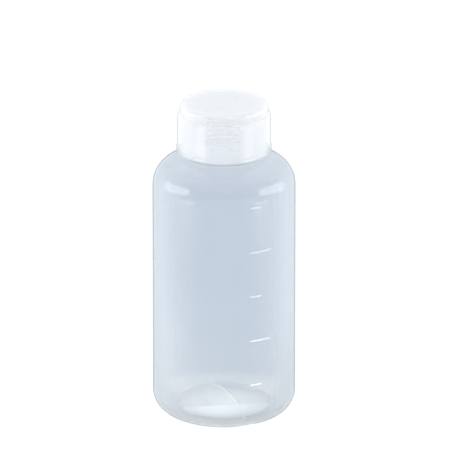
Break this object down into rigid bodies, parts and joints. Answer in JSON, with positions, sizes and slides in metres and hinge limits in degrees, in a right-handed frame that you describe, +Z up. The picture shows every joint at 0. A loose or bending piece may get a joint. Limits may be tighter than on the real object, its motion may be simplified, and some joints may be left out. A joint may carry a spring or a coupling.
{
  "type": "reagent bottle",
  "caption": "Free-standing translucent plastic reagent bottle: round body with raised graduation marks, pushed-up base, sealing plug and a screw cap that turns and rises on its thread.",
  "frame": {"origin": "centre of the standing ring, on the surface that the bottle stands on", "axes": "+Z up along the bottle's axis, towards the cap; the front is -Y and the graduation marks start 21.6 degrees from the front towards +X"},
  "size_m": [0.0594, 0.0594, 0.136],
  "materials": {
    "body_plastic": "translucent natural polypropylene, satin gloss, blow moulded",
    "cap_plastic": "milky natural polypropylene, satin gloss, injection moulded",
    "plug_plastic": "milky natural polyethylene, soft satin"
  },
  "bodies": {
    "bottle": {"bottle": "body_plastic"},
    "plug": {"inner_plug": "plug_plastic"},
    "cap": {"screw_cap": "cap_plastic"}
  },
  "joints": [
    {"name": "cap_rise", "type": "slide", "parent": "bottle", "child": "plug", "axis": [0, 0, 1], "range_m": [0, 0.0289]},
    {"name": "cap_turn", "type": "hinge", "parent": "plug", "child": "cap", "pos_m": [0, 0, 0.125], "axis": [0, 0, 1], "range_deg": [0, 2880]}
  ],
  "couplings": [
    {"joint": "cap_rise", "follows": "cap_turn", "m_per_rad": 0.00057296}
  ]
}
